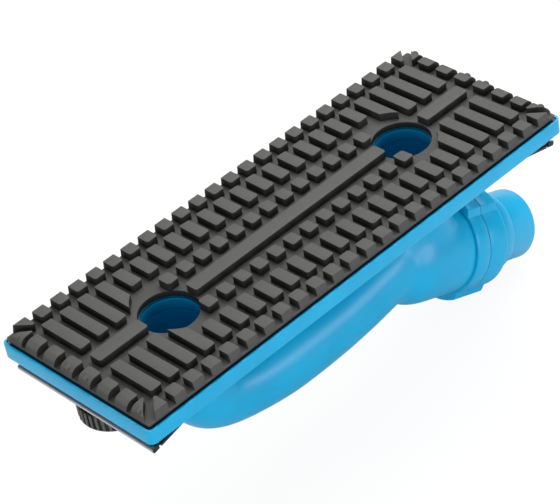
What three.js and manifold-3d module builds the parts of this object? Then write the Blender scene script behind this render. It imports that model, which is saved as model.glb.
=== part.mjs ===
// Hand sanding head with dust extraction, lying sole up.
// Millimetres, +Z up out of the sole, +X towards the hose outlet, +Y across.
// The origin is the middle of the sole's working face.

import * as THREE from 'three';
import { mergeVertices } from 'three/addons/utils/BufferGeometryUtils.js';
import Module from 'manifold-3d';

const wasm = await Module();
wasm.setup();

// ---------------------------------------------------------------- driving sizes

const gap = 0.3;                     // running gap between pieces that touch

// cleats of the sole
const cleatPitch = 9.35;
const cleatHeight = 3.7;
const cleatCorner = 0.9;
const barWidth = 5.8;
const ribHalf = 3.4;                 // centre rib, half its width
const barInner = 8.3;                // rows, measured out from the middle line
const squareOuter = 15.2;
const shortBarInner = 19.9;
const barOuter = 32.6;
const edgeInner = 35.5;
const barsEachWay = 11;              // bars either side of the middle one
const longBarFrom = 8;               // the bars from here outwards are long
const squaresEachWay = 6;

// sole pad
const padHalfLength = 116.6;
const padHalfWidth = 42.3;           // at the foot of the cleats
const padTopHalfWidth = 41.8;        // the long edges lean in towards the top
const padBand = 1.2;                 // sheet below the cleats
const padInset = 1.3;                // lower layer, set back from the edge
const padLower = 1.1;
const endCleatInner = 109.9;
const endCleatRound = cleatHeight;   // the short edges are quarter round
const nubRadius = 1.6;
const cornerMitre = 76.9;            // end corner cleats are cut where x - |y| is this

// suction holes
const portX = 67.3;
const padHole = 12.7;
const portHole = 12.2;
const clearingX = 60.8;              // round clearing in the cleats
const clearingRadius = 20.1;

// moulded base
const baseHalfLength = 118.4;
const baseHalfWidth = 43.9;
const baseTop = -(cleatHeight + padBand + padLower + gap);
const rimTop = -5.6;                 // low lip that the pad drops into
const rimSlit = 0.65;                // between the pad's edge and that lip
const rimBevel = 0.4;
const rimCorner = 2.4;
const baseBottom = -12.4;
const deckThickness = 2.6;
const rimWall = 2.4;
const ribWall = 1.8;
const clampSeatFrom = 86;            // solid ends, under the clamps
const gripGroovesFrom = 113.6;       // where the clamp's lip lands
const gripGroovePitch = 1.6;
const footRadius = 21;                // round part of each foot, and the boss above it

// handle duct
const wall = 2.4;
const footTop = baseBottom - gap;
const flangeThickness = 3.6;
const footScrewY = 23.5;
const frontFootRadius = portHole + wall;
const frontBendRadius = 15;
const sealInner = 14.8;
const sealOuter = 17.7;
const gripRadius = 17.6;
const gripZ = -61;
const rearRiserRadius = 14.6;

// outlet axis, tilted down from the sole; positions along it are counted from the collar's face
const outletTilt = THREE.MathUtils.degToRad(20.9);
const outletX = 79.8;
const outletZ = -69.1;
const tubeRadius = 21.5;
const outletFrom = -33.5;            // blunt end of the outlet tube
const shoulderLength = 12.5;
const shoulderDepth = 5.5;
const collarRadius = 22.6;
const lobeRadius = 25;
const lobeHalfAngle = THREE.MathUtils.degToRad(37);
const lobeShoulder = THREE.MathUtils.degToRad(6.5);
const flangeRadius = 21.3;           // turning flange inside the collar
const neckRadius = 19.2;             // connector where it leaves the collar
const innerRingFrom = 0.9;
const innerRingTo = 9.1;
const outerRingFrom = 9.4;
const outerRingTo = 21;
const spigotFrom = 33;
const spigotTo = 47.6;
const spigotRadius = 15.9;
const spigotBore = 13.5;

// paper clamps
const studX = 101.6;
const studRadius = 2.9;
const clampPivotX = 89.5;
const clampReach = 27.5;             // pivot edge to lip
const clampHalfWidth = 40.2;
const plateThickness = 1.2;
const lipHeight = 1.2;
const clampTilt = THREE.MathUtils.degToRad(13);
const knobRadius = 15.2;
const knobTop = -20.8;
const knobBottom = -28.4;
const washerTop = -18.6;
const washerThickness = 1.2;
const knobDish = 0.8;                // hollow in the knob's end face
const insertSeat = 1.8;              // floor of the insert's socket, above the knob's bottom

// ---------------------------------------------------------------- materials

function finish(color, roughness, metalness) {
  return new THREE.MeshStandardMaterial({ color, roughness, metalness });
}

const blackRubber = finish(0x5a5a58, 0.85, 0);
const blueMoulding = finish(0x1b97d5, 0.3, 0);
const sealRubber = finish(0x20201f, 0.9, 0);
const clampSteel = finish(0xb9bcbe, 0.35, 1);
const zincSteel = finish(0xc2c3c0, 0.3, 1);
const blackPlastic = finish(0x242424, 0.55, 0);
const brass = finish(0xb08d4a, 0.35, 1);

// ---------------------------------------------------------------- solids

function solid(geometry) {
  const bare = geometry.clone();
  bare.deleteAttribute('normal');
  bare.deleteAttribute('uv');
  const merged = mergeVertices(bare, 1e-4);
  return new wasm.Manifold(new wasm.Mesh({
    numProp: 3,
    vertProperties: new Float32Array(merged.attributes.position.array),
    triVerts: new Uint32Array(merged.index.array),
  }));
}

function union(solids) {
  return solids.reduce((sum, next) => sum.add(next));
}

function geometryOf(body) {
  const mesh = body.getMesh();
  const geometry = new THREE.BufferGeometry();
  geometry.setAttribute('position', new THREE.BufferAttribute(mesh.vertProperties, 3));
  geometry.setIndex(new THREE.BufferAttribute(mesh.triVerts, 1));
  geometry.computeVertexNormals();
  return geometry;
}

// A flat outline raised from z = low to z = high.
function raised(shape, low, high, curveSegments = 6) {
  const geometry = new THREE.ExtrudeGeometry(shape, {
    depth: high - low,
    bevelEnabled: false,
    curveSegments,
  });
  return solid(geometry.translate(0, 0, low));
}

function disc(x, y, radius, low, high, sides = 32) {
  const geometry = new THREE.CylinderGeometry(radius, radius, high - low, sides);
  return solid(geometry.rotateX(Math.PI / 2).translate(x, y, (low + high) / 2));
}

function block(x0, x1, y0, y1, z0, z1) {
  const geometry = new THREE.BoxGeometry(x1 - x0, y1 - y0, z1 - z0);
  return solid(geometry.translate((x0 + x1) / 2, (y0 + y1) / 2, (z0 + z1) / 2));
}

function chamferedOutline(x0, x1, y0, y1, corner) {
  const shape = new THREE.Shape();
  shape.moveTo(x0 + corner, y0);
  shape.lineTo(x1 - corner, y0);
  shape.lineTo(x1, y0 + corner);
  shape.lineTo(x1, y1 - corner);
  shape.lineTo(x1 - corner, y1);
  shape.lineTo(x0 + corner, y1);
  shape.lineTo(x0, y1 - corner);
  shape.lineTo(x0, y0 + corner);
  shape.closePath();
  return shape;
}

function polygon(points) {
  return new THREE.Shape(points.map(([x, y]) => new THREE.Vector2(x, y)));
}

// A profile of [radius, height] points turned about the Z axis.
function turned(points, segments = 32) {
  const profile = points.map(([radius, height]) => new THREE.Vector2(radius, height));
  return new THREE.LatheGeometry(profile, segments).rotateX(Math.PI / 2);
}

// A closed tube skin swept along points of the XZ plane, with its own radius at each point.
function sweptSkin(path, radii, sides) {
  const positions = [];
  const index = [];
  path.forEach((point, i) => {
    const before = path[Math.max(i - 1, 0)];
    const after = path[Math.min(i + 1, path.length - 1)];
    const along = new THREE.Vector2(after.x - before.x, after.y - before.y).normalize();
    for (let k = 0; k < sides; k += 1) {
      const angle = (2 * Math.PI * k) / sides;
      const across = radii[i] * Math.cos(angle);
      positions.push(
        point.x - along.y * across,
        radii[i] * Math.sin(angle),
        point.y + along.x * across,
      );
    }
  });
  for (let i = 0; i < path.length - 1; i += 1) {
    for (let k = 0; k < sides; k += 1) {
      const a = i * sides + k;
      const b = i * sides + ((k + 1) % sides);
      index.push(a, a + sides, b, b, a + sides, b + sides);
    }
  }
  const last = (path.length - 1) * sides;
  for (let k = 1; k < sides - 1; k += 1) {
    index.push(0, k, k + 1);
    index.push(last, last + k + 1, last + k);
  }
  const geometry = new THREE.BufferGeometry();
  geometry.setAttribute('position', new THREE.Float32BufferAttribute(positions, 3));
  geometry.setIndex(index);
  return geometry;
}

function sweptSolid(path, radii, sides) {
  const geometry = sweptSkin(path, radii, sides);
  geometry.computeVertexNormals();
  return solid(geometry);
}

// ---------------------------------------------------------------- sole pad

function cleat(x0, x1, y0, y1) {
  const outline = chamferedOutline(x0, x1, y0, y1, cleatCorner);
  return raised(outline, -cleatHeight - 0.2, 0);
}

function barRows() {
  const cleats = [];
  for (let place = -barsEachWay; place <= barsEachWay; place += 1) {
    const x0 = place * cleatPitch - barWidth / 2;
    const x1 = x0 + barWidth;
    const long = Math.abs(place) >= longBarFrom;
    const inner = long ? barInner : shortBarInner;
    for (const side of [-1, 1]) {
      const rows = [[inner, barOuter]];
      if (Math.abs(place) <= squaresEachWay) rows.push([barInner - 0.1, squareOuter]);
      for (const [near, far] of rows) {
        const ys = [side * near, side * far].sort((a, b) => a - b);
        cleats.push(cleat(x0, x1, ys[0], ys[1]));
      }
    }
  }
  return cleats;
}

function centreRibs() {
  const holeEdge = portX - padHole;
  const outerStart = clearingX + clearingRadius - 0.4;
  const outerEnd = barsEachWay * cleatPitch + barWidth / 2;
  return [
    cleat(-holeEdge, holeEdge, -ribHalf, ribHalf),
    cleat(outerStart, outerEnd, -ribHalf, ribHalf),
    cleat(-outerEnd, -outerStart, -ribHalf, ribHalf),
  ];
}

function longEdgeCleats() {
  const pitch = cleatPitch * 1.014;
  const cleats = [];
  for (let k = -11; k < 11; k += 1) {
    const x0 = (k + 0.5) * pitch - barWidth / 2;
    for (const side of [-1, 1]) {
      const outline = polygon([
        [x0, side * (padHalfWidth + 1)],
        [x0, side * (edgeInner + cleatCorner)],
        [x0 + cleatCorner, side * edgeInner],
        [x0 + barWidth - cleatCorner, side * edgeInner],
        [x0 + barWidth, side * (edgeInner + cleatCorner)],
        [x0 + barWidth, side * (padHalfWidth + 1)],
      ]);
      cleats.push(raised(outline, -cleatHeight - 0.2, 0));
    }
  }
  return cleats;
}

// Everything between the two leaning faces of the long edges.
function leaningEdges() {
  const shape = polygon([
    [-padHalfWidth, -9],
    [padHalfWidth, -9],
    [padHalfWidth, -cleatHeight],
    [padTopHalfWidth, 0],
    [padTopHalfWidth, 9],
    [-padTopHalfWidth, 9],
    [-padTopHalfWidth, 0],
    [-padHalfWidth, -cleatHeight],
  ]);
  const reach = padHalfLength + 9;
  const geometry = new THREE.ExtrudeGeometry(shape, { depth: 2 * reach, bevelEnabled: false });
  return solid(geometry.translate(0, 0, -reach).rotateX(Math.PI / 2).rotateZ(Math.PI / 2));
}

// The short edges, where the paper bends over, have a rounded outer edge.
function roundedEndProfile() {
  const shape = new THREE.Shape();
  shape.moveTo(endCleatInner, -cleatHeight - 0.2);
  shape.lineTo(padHalfLength, -cleatHeight - 0.2);
  shape.absarc(padHalfLength - endCleatRound, -endCleatRound, endCleatRound, 0, Math.PI / 2, false);
  shape.lineTo(endCleatInner, 0);
  shape.closePath();
  return shape;
}

// The rounded end profile, as a strip along Y.
function endStrip(y0, y1) {
  const geometry = new THREE.ExtrudeGeometry(roundedEndProfile(), {
    depth: y1 - y0,
    bevelEnabled: false,
    curveSegments: 3,
  });
  return solid(geometry.rotateX(Math.PI / 2).translate(0, y1, 0));
}

function endCleats() {
  const pitch = 10.57;
  const width = 6.8;
  const cornerFrom = 32.3;
  const cleats = [];
  for (let k = -3; k < 3; k += 1) {
    const y0 = (k + 0.5) * pitch - width / 2;
    cleats.push(endStrip(y0, y0 + width));
  }
  const cornerStrip = endStrip(cornerFrom, padHalfWidth);
  const mitreFrom = endCleatInner - 9;
  const mitreTo = padHalfLength + 1;
  const beyondMitre = raised(polygon([
    [mitreTo, mitreTo - cornerMitre],
    [mitreTo, mitreTo],
    [mitreFrom, mitreTo],
    [mitreFrom, mitreFrom - cornerMitre],
  ]), -9, 9);
  const corner = cornerStrip.subtract(beyondMitre);
  cleats.push(corner, mirrored(corner, 'y'));
  const nubY = [pitch / 2, (cornerFrom + padHalfWidth) / 2 - 1.4];
  for (const y of nubY) {
    for (const side of [-1, 1]) cleats.push(nub(side * y));
  }
  return union(cleats);
}

// Small moulding nub on the rounded outer face of an end cleat.
function nub(y) {
  const nubShape = new THREE.SphereGeometry(nubRadius, 8, 6);
  return solid(nubShape.translate(padHalfLength - nubRadius, y, -nubRadius));
}

// The last cleat of a long edge, cut aslant where the corner channel runs out.
function cornerCleat() {
  const from = 106.1;
  const shape = polygon([
    [from, edgeInner],
    [from + 1.3, edgeInner],
    [from + 6.5, padHalfWidth],
    [from + 7.3, padHalfWidth + 1],
    [from, padHalfWidth + 1],
  ]);
  return raised(shape, -cleatHeight - 0.2, 0);
}

function mirrored(body, axis) {
  const mirror = { x: [-1, 0, 0], y: [0, -1, 0] }[axis];
  return body.mirror(mirror.map((v) => -v));
}

function roundedRectangle(halfLength, halfWidth, radius) {
  const shape = new THREE.Shape();
  shape.moveTo(-halfLength + radius, -halfWidth);
  shape.lineTo(halfLength - radius, -halfWidth);
  shape.absarc(halfLength - radius, -halfWidth + radius, radius, -Math.PI / 2, 0, false);
  shape.lineTo(halfLength, halfWidth - radius);
  shape.absarc(halfLength - radius, halfWidth - radius, radius, 0, Math.PI / 2, false);
  shape.lineTo(-halfLength + radius, halfWidth);
  shape.absarc(-halfLength + radius, halfWidth - radius, radius, Math.PI / 2, Math.PI, false);
  shape.lineTo(-halfLength, -halfWidth + radius);
  shape.absarc(-halfLength + radius, -halfWidth + radius, radius, Math.PI, 1.5 * Math.PI, false);
  return shape;
}

function solePad() {
  const sheetTop = -cleatHeight;
  const sheetBottom = sheetTop - padBand;
  const sheet = raised(roundedRectangle(padHalfLength, padHalfWidth, 1), sheetBottom, sheetTop, 3);
  const lower = raised(
    roundedRectangle(padHalfLength - padInset, padHalfWidth - padInset, 1),
    sheetBottom - padLower,
    sheetBottom + 0.2,
    3,
  );
  const clearings = [-1, 1].map((side) => disc(side * clearingX, 0, clearingRadius, -9, 9, 28));
  const bars = union(barRows()).subtract(union(clearings));
  const corner = cornerCleat();
  const corners = [corner, mirrored(corner, 'y')];
  const oneEnd = union([endCleats(), ...corners]);
  const ends = [oneEnd, mirrored(oneEnd, 'x')];
  const cleats = union([bars, ...centreRibs(), ...longEdgeCleats(), ...ends]);
  const holes = [-1, 1].map((side) => disc(side * portX, 0, padHole, -12, 9, 24));
  const trimmed = cleats.intersect(leaningEdges());
  return union([sheet, lower, trimmed]).subtract(union(holes));
}

// ---------------------------------------------------------------- base plate

function rimBody() {
  const bevel = rimBevel;
  const outline = roundedRectangle(baseHalfLength - bevel, baseHalfWidth - bevel, rimCorner);
  const geometry = new THREE.ExtrudeGeometry(outline, {
    depth: rimTop - baseBottom - 2 * bevel,
    bevelEnabled: true,
    bevelSize: bevel,
    bevelThickness: bevel,
    bevelSegments: 1,
    curveSegments: 3,
  });
  const padSeat = roundedRectangle(padHalfLength + rimSlit, padHalfWidth + rimSlit, 1.6);
  return solid(geometry.translate(0, 0, baseBottom + bevel))
    .subtract(raised(padSeat, baseTop, rimTop + 1, 3));
}

// Cored pockets in the underside, between cross ribs and two long ribs.
function corePockets() {
  const pockets = [];
  const roof = baseTop - deckThickness;
  const columns = 7;
  const width = (2 * clampSeatFrom - ribWall) / columns;
  const longRib = 15;
  const bands = [
    [-baseHalfWidth + rimWall, -longRib - ribWall / 2],
    [-longRib + ribWall / 2, longRib - ribWall / 2],
    [longRib + ribWall / 2, baseHalfWidth - rimWall],
  ];
  for (let column = 0; column < columns; column += 1) {
    const x0 = -clampSeatFrom + ribWall + column * width;
    for (const [y0, y1] of bands) {
      const outline = chamferedOutline(x0, x0 + width - ribWall, y0, y1, 1.2);
      pockets.push(raised(outline, baseBottom - 1, roof));
    }
  }
  return union(pockets);
}

function footPad(x) {
  return union([
    disc(x, 0, footRadius, baseBottom - 1, baseTop, 24),
    disc(x, footScrewY, 7, baseBottom - 1, baseTop, 12),
    disc(x, -footScrewY, 7, baseBottom - 1, baseTop, 12),
  ]);
}

function basePlate() {
  const pads = union([footPad(-portX), footPad(portX)]);
  let body = rimBody().subtract(corePockets().subtract(pads));
  const cuts = [];
  for (const side of [-1, 1]) {
    cuts.push(disc(side * portX, 0, portHole, baseBottom - 1, baseTop + 1, 24));
    cuts.push(disc(side * studX, 0, studRadius + gap + 0.1, baseBottom - 1, baseTop + 1, 16));
    cuts.push(disc(side * studX, 0, 6.4, baseTop - 2.4, baseTop + 1, 16));
    for (const y of [-footScrewY, footScrewY]) {
      cuts.push(disc(side * portX, y, 2.3, baseBottom - 1, baseTop - 2.2, 12));
    }
    // grip grooves in the seat that the paper is pressed against
    for (const step of [0, 1, 2]) {
      const x = side * (gripGroovesFrom + step * gripGroovePitch);
      cuts.push(block(x - 0.35, x + 0.35, -36, 36, baseBottom - 1, baseBottom + 0.5));
    }
  }
  body = body.subtract(union(cuts));
  return body;
}

// ---------------------------------------------------------------- handle duct

function bezierPoints(a, b, c, d, count) {
  const vectors = [a, b, c, d].map(([x, z]) => new THREE.Vector2(x, z));
  return new THREE.CubicBezierCurve(...vectors).getPoints(count);
}

// Centre line of the grip: down out of the front foot, level, then up a little to the elbow.
function gripPath() {
  const crown = [-5, gripZ];
  const front = bezierPoints([-portX, footTop], [-portX, -59.4], [-61, gripZ], crown, 12);
  const rear = bezierPoints(crown, [13.7, gripZ], [28, -58.9], [44.9, -55.7], 4);
  return [...front, ...rear.slice(1)];
}

function gripRadii(path, inset) {
  let travelled = 0;
  return path.map((point, i) => {
    if (i > 0) travelled += point.distanceTo(path[i - 1]);
    const bend = THREE.MathUtils.clamp(travelled / 46.8, 0, 1);
    const flare = THREE.MathUtils.smoothstep(travelled, 46.8, 88);
    const outer = frontFootRadius
      + (frontBendRadius - frontFootRadius) * bend
      + (gripRadius - frontBendRadius) * flare;
    return outer - inset;
  });
}

function alongOutlet(geometry) {
  return geometry
    .rotateY(Math.PI / 2 + outletTilt)
    .translate(outletX, 0, outletZ);
}

function outletBody(inset) {
  const r = tubeRadius - inset;
  const shoulder = [];
  for (let k = 0; k <= 3; k += 1) {
    const angle = (k / 3) * (Math.PI / 2);
    shoulder.push([
      r - shoulderDepth * (1 - Math.sin(angle)),
      outletFrom + shoulderLength * (1 - Math.cos(angle)),
    ]);
  }
  const neck = inset > 0 ? r - 0.8 : 20.6;
  const ends = inset > 0
    ? [[r, -4], [neck, -2], [neck, 20], [0, 20]]
    : [[r, innerRingFrom - gap], [neck, innerRingFrom - gap], [neck, 9.5],
      [flangeRadius, 9.5], [flangeRadius, 12], [0, 12]];
  return solid(alongOutlet(turned([[0, outletFrom], ...shoulder, ...ends], 24)));
}

function foot(x, radius) {
  const shape = new THREE.Shape();
  const halfLength = footScrewY;
  const ear = 6.4;
  shape.absarc(0, 0, radius, -0.9, 0.9, false);
  shape.absarc(0, halfLength, ear, 0.25, Math.PI - 0.25, false);
  shape.absarc(0, 0, radius, Math.PI - 0.9, Math.PI + 0.9, false);
  shape.absarc(0, -halfLength, ear, Math.PI + 0.25, 2 * Math.PI - 0.25, false);
  const flange = raised(shape, footTop - flangeThickness, footTop, 7);
  return flange.translate([x, 0, 0]);
}

function rearRiser(inset, top) {
  const path = [[top, 0], [-30, 1], [-42, 2], [-52, 3], [-60, 3.4]];
  const points = path.map(([z, growth]) => [rearRiserRadius + growth - inset, z]);
  const profile = [[0, path[0][0]], ...points, [0, path[path.length - 1][0]]].reverse();
  return solid(turned(profile, 24)).translate([portX, 0, 0]);
}

function handleDuct() {
  const path = gripPath();
  const joint = path[path.length - 1];
  const sides = 18;
  const knuckle = new THREE.SphereGeometry(gripRadius, 16, 10);
  const outer = union([
    sweptSolid(path, gripRadii(path, 0), sides),
    solid(knuckle.translate(joint.x, 0, joint.y)),
    outletBody(0),
    rearRiser(0, footTop),
    foot(-portX, footRadius),
    foot(portX, footRadius),
  ]);
  const openTop = [new THREE.Vector2(-portX, footTop + 2), ...path];
  const innerRadii = [frontFootRadius - wall, ...gripRadii(path, wall)];
  const innerSides = 12;
  const innerKnuckle = new THREE.SphereGeometry(gripRadius - wall, 12, 8);
  const inner = union([
    sweptSolid(openTop, innerRadii, innerSides),
    solid(innerKnuckle.translate(joint.x, 0, joint.y)),
    outletBody(wall),
    rearRiser(wall, footTop + 2),
  ]);
  const cuts = [inner];
  for (const side of [-1, 1]) {
    const inside = sealInner - gap;
    const outside = sealOuter + gap;
    const groove = turned([[inside, footTop + 1], [inside, footTop - 1.9],
      [outside, footTop - 1.9], [outside, footTop + 1], [inside, footTop + 1]], 20);
    cuts.push(solid(groove.translate(side * portX, 0, 0)));
    for (const y of [-footScrewY, footScrewY]) {
      cuts.push(disc(side * portX, y, 2.4, footTop - 9, footTop + 1, 12));
    }
  }
  return outer.subtract(union(cuts));
}

function portGasket(x) {
  const low = footTop - 1.6;
  const high = footTop;
  const ring = turned([[sealInner, low], [sealOuter, low], [sealOuter, high], [sealInner, high],
    [sealInner, low]], 20);
  return ring.translate(x, 0, 0);
}

// Pan-head screw that holds a foot to the base, its head below the flange.
function footScrew(x, y) {
  const head = footTop - flangeThickness - gap;
  const tip = baseTop - 2.2 - gap;
  const profile = [
    [0, head - 2.6],
    [2.6, head - 2.5],
    [4, head - 1.2],
    [4, head],
    [2, head],
    [2, tip],
    [0, tip],
  ];
  const screw = solid(turned(profile, 12));
  const slotA = block(-2, 2, -0.4, 0.4, head - 4, head - 1.4);
  const slotB = block(-0.4, 0.4, -2, 2, head - 4, head - 1.4);
  return screw.subtract(slotA.add(slotB)).translate([x, y, 0]);
}

// ---------------------------------------------------------------- collar and hose connector

// Raised segment of a collar ring, centred on the side that faces `towards`.
function lobe(inner, from, to, towards) {
  const shape = new THREE.Shape();
  const top = lobeHalfAngle - lobeShoulder;
  const base = lobeHalfAngle;
  shape.absarc(0, 0, lobeRadius, towards - top, towards + top, false);
  shape.absarc(0, 0, inner, towards + base, towards - base, true);
  shape.closePath();
  return raised(shape, from, to, 8);
}

function collarRing(profile, from, lobeTo) {
  let ring = solid(turned(profile, 36));
  const hollow = collarRadius - 0.5;
  const bore = solid(turned([[0, -5], [hollow, -5], [hollow, 30], [0, 30]], 36));
  for (const towards of [0, Math.PI]) {
    ring = ring.add(lobe(hollow - 0.5, from, lobeTo, towards).subtract(bore));
  }
  return alongOutlet(geometryOf(ring));
}

function innerRing() {
  const from = innerRingFrom;
  const to = innerRingTo;
  const edge = 0.5;
  return collarRing([
    [20.9, from],
    [collarRadius - edge, from],
    [collarRadius, from + edge],
    [collarRadius, to],
    [20.9, to],
    [20.9, from],
  ], from, to);
}

function outerRing() {
  const from = outerRingFrom;
  const to = outerRingTo;
  return collarRing([
    [flangeRadius + gap, from],
    [collarRadius, from],
    [collarRadius, to - 1.2],
    [collarRadius - 1.2, to],
    [neckRadius + gap, to],
    [neckRadius + gap, 16.5],
    [flangeRadius + gap, 16.5],
    [flangeRadius + gap, from],
  ], from, to - 1.6);
}

function swivelSeal() {
  const profile = [];
  for (let k = 0; k <= 6; k += 1) {
    const angle = (-2 * Math.PI * k) / 6;
    profile.push([19.9 + 0.6 * Math.cos(angle), 12.9 - 0.6 * Math.sin(angle)]);
  }
  return alongOutlet(turned(profile, 24));
}

function hoseConnector() {
  const dome = [];
  const domeFrom = 21.4;
  for (let k = 0; k <= 5; k += 1) {
    const angle = (k / 5) * (Math.PI / 2);
    dome.push([
      spigotRadius + 0.6 + (neckRadius - spigotRadius - 0.6) * Math.cos(angle),
      domeFrom + (spigotFrom - 1 - domeFrom) * Math.sin(angle),
    ]);
  }
  const profile = [
    [17, 13.8],
    [flangeRadius, 13.8],
    [flangeRadius, 16.2],
    [neckRadius, 16.2],
    ...dome,
    [spigotRadius, spigotFrom],
    [spigotRadius, spigotTo - 0.5],
    [spigotRadius - 0.5, spigotTo],
    [spigotBore, spigotTo],
    [spigotBore, spigotFrom - 2],
    [17, 20],
    [17, 13.8],
  ];
  return alongOutlet(turned(profile, 32));
}

// ---------------------------------------------------------------- paper clamps

// Side view of the pressed plate, flat in its own frame: pivot edge at the origin, lip at the end.
function clampPlate() {
  const reach = clampReach;
  const low = -plateThickness;
  const y = clampHalfWidth;
  let plate = block(0, reach, -y, y, low, 0);
  plate = plate.add(block(reach - plateThickness, reach, -y, y, low, lipHeight));
  const cuts = [];
  // short returns of the lip round the two corners, and the relief slits beside them
  const returnFrom = reach - 3.4;
  for (const side of [-1, 1]) {
    const ys = [side * (y - plateThickness), side * y].sort((a, b) => a - b);
    plate = plate.add(block(returnFrom, reach, ys[0], ys[1], low, lipHeight));
    const slit = [side * (y - 1.6), side * (y + 1)].sort((a, b) => a - b);
    cuts.push(block(returnFrom - 1.4, returnFrom, slit[0], slit[1], low - 1, 1));
  }
  const slot = new THREE.Shape();
  const centre = (studX - clampPivotX) / Math.cos(clampTilt);
  slot.absarc(centre + 0.3, 0, 3.5, -Math.PI / 2, Math.PI / 2, false);
  slot.absarc(centre - 0.5, 0, 3.5, Math.PI / 2, 1.5 * Math.PI, false);
  slot.closePath();
  cuts.push(raised(slot, low - 1, 1, 6));
  return plate.subtract(union(cuts));
}

function clampStud() {
  const headTop = baseTop - gap;
  const tip = knobBottom + 1;
  const profile = [
    [0, tip],
    [studRadius - 0.7, tip],
    [studRadius, tip + 0.7],
    [studRadius, headTop - 1.8],
    [6, headTop - 1.8],
    [6, headTop - 0.5],
    [5.2, headTop],
    [0, headTop],
  ];
  return turned(profile, 12);
}

function clampWasher() {
  const low = washerTop - washerThickness;
  const profile = [[3.3, low], [6.6, low], [6.6, washerTop], [3.3, washerTop], [3.3, low]];
  return turned(profile, 16);
}

function knob() {
  const ribs = 35;
  const grooveDepth = 0.9;
  const outline = [];
  for (let k = 0; k < ribs; k += 1) {
    const centre = (2 * Math.PI * k) / ribs;
    const half = Math.PI / ribs;
    outline.push([centre - half * 0.5, knobRadius], [centre + half * 0.5, knobRadius]);
    outline.push([centre + half, knobRadius - grooveDepth]);
  }
  const shape = polygon(outline.map(([angle, r]) => [r * Math.cos(angle), r * Math.sin(angle)]));
  const knurled = raised(shape, knobBottom, knobTop);
  const envelope = solid(turned([
    [0, knobBottom],
    [knobRadius - 0.9, knobBottom],
    [knobRadius + 0.2, knobBottom + 1],
    [knobRadius + 0.2, knobTop],
    [0, knobTop],
  ], 36));
  const socket = disc(0, 0, 4.9, knobBottom + insertSeat, knobTop + 1, 16);
  const hole = disc(0, 0, 3.5, knobBottom - 1, knobTop + 1, 16);
  const dish = disc(0, 0, 11, knobBottom - 1, knobBottom + knobDish, 24);
  return knurled.intersect(envelope).subtract(union([socket, hole, dish]));
}

function knobInsert() {
  const low = knobBottom + insertSeat + gap;
  const high = washerTop - washerThickness - gap;
  const profile = [[3.2, low], [4.6, low], [4.6, high], [3.2, high], [3.2, low]];
  return turned(profile, 12);
}

// ---------------------------------------------------------------- assembly

const sander = new THREE.Group();

function place(parent, name, shape, material) {
  const geometry = shape.isBufferGeometry ? shape : geometryOf(shape);
  const mesh = new THREE.Mesh(geometry, material);
  mesh.name = name;
  parent.add(mesh);
  return mesh;
}

place(sander, 'sole_pad', solePad(), blackRubber);
place(sander, 'base_plate', basePlate(), blueMoulding);
place(sander, 'handle_duct', handleDuct(), blueMoulding);
place(sander, 'front_port_gasket', portGasket(-portX), sealRubber);
place(sander, 'rear_port_gasket', portGasket(portX), sealRubber);
for (const [end, x] of [['front', -portX], ['rear', portX]]) {
  place(sander, `${end}_foot_screw_left`, footScrew(x, footScrewY), zincSteel);
  place(sander, `${end}_foot_screw_right`, footScrew(x, -footScrewY), zincSteel);
}
place(sander, 'collar_inner_ring', innerRing(), blueMoulding);
place(sander, 'collar_outer_ring', outerRing(), blueMoulding);
place(sander, 'swivel_seal', swivelSeal(), sealRubber);
place(sander, 'hose_connector', hoseConnector(), blueMoulding);

for (const [end, turn] of [['front', Math.PI], ['rear', 0]]) {
  const clamp = new THREE.Group();
  clamp.rotation.z = turn;
  sander.add(clamp);
  const plate = place(clamp, `${end}_clamp_plate`, clampPlate(), clampSteel);
  plate.position.set(clampPivotX, 0, baseBottom - gap);
  plate.rotation.y = clampTilt;
  for (const [name, shape, material] of [
    ['clamp_stud', clampStud(), zincSteel],
    ['clamp_washer', clampWasher(), zincSteel],
    ['clamp_knob', knob(), blackPlastic],
    ['knob_insert', knobInsert(), brass],
  ]) {
    const piece = place(clamp, `${end}_${name}`, shape, material);
    piece.position.x = studX;
  }
}

export default sander;
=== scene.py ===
"""Hand sanding head with dust extraction, lying sole up on a pale floor.

The sole's cleats and the ribs of the clamp knobs are laid out by Geometry Nodes. The mouldings
are lofted and turned from the same sizes as the solids they stand for.
Sizes are in millimetres, in the shapes and in the materials. Blender gets metres.
"""

import math

import bmesh
import bpy
from mathutils import Matrix, Vector


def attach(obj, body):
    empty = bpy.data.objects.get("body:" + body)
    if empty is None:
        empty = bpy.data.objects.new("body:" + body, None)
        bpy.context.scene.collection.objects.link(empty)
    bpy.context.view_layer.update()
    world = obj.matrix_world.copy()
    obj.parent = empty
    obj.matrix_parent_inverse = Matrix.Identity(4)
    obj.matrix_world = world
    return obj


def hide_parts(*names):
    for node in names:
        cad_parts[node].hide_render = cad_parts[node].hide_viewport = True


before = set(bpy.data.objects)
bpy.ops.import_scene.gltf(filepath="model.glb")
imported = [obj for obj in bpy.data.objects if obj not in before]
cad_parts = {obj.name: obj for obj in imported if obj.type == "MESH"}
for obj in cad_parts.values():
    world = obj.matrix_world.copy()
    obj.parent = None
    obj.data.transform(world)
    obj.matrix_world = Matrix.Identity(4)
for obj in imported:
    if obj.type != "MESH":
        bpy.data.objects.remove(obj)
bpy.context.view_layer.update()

MM = 0.001

# ---------------------------------------------------------------- sizes, in millimetres

SOLE_FACE = 0.0                     # level of the cleats' tops
ABOVE = 9.0                         # clear of the sole and the base, where cutters end
BELOW = -20.0
FLOOR_LEVEL = -101.0

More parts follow.
